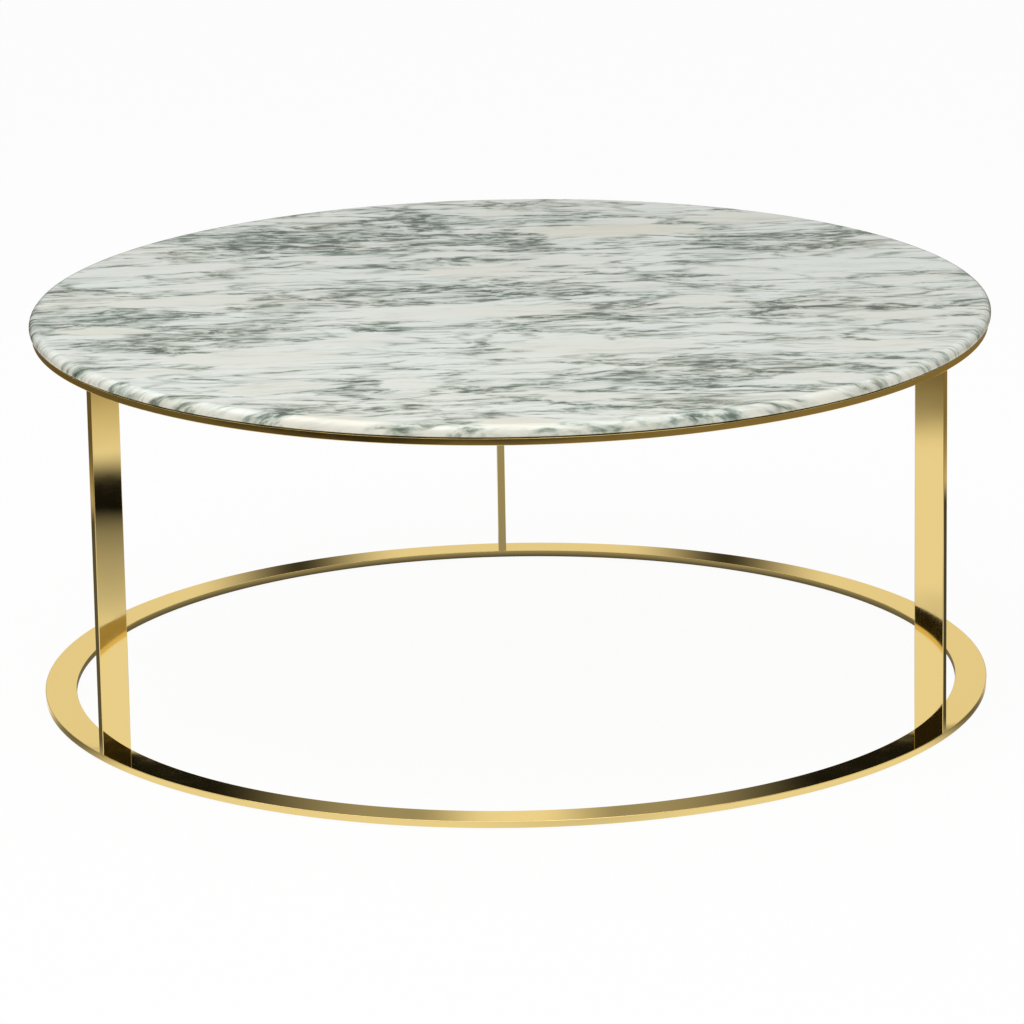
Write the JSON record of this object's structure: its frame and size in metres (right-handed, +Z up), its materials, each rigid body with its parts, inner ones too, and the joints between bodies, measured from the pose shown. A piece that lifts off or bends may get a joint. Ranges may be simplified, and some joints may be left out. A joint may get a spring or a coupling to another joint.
{
  "type": "round cocktail table",
  "caption": "Round cocktail table: a thin rounded-edge marble disc on a polished brass frame of an upper and a base flat ring joined by slim radial flat-bar legs.",
  "frame": {"origin": "centre of the table on the floor, under the glides", "axes": "+Z up, +Y towards the back leg, +X to the right as seen from the front"},
  "size_m": [0.9999, 1, 0.41],
  "materials": {
    "marble": "polished, grey-green veins on white and cream",
    "brass": "mirror polished",
    "board": "clear lacquered birch plywood",
    "screw_steel": "zinc plated",
    "silicone": "clear silicone",
    "glide": "black nylon"
  },
  "bodies": {
    "root": {"stone_top": "marble", "backing_board": "board", "upper_ring": "brass", "base_ring": "brass", "leg_back": "brass", "leg_left": "brass", "leg_right": "brass", "upper_screws": "screw_steel", "base_screws": "screw_steel", "top_bumper_1": "silicone", "top_bumper_2": "silicone", "top_bumper_3": "silicone", "top_bumper_4": "silicone", "top_bumper_5": "silicone", "top_bumper_6": "silicone", "floor_glide_1": "glide", "floor_glide_2": "glide", "floor_glide_3": "glide", "floor_glide_4": "glide", "floor_glide_5": "glide", "floor_glide_6": "glide"}
  },
  "joints": []
}
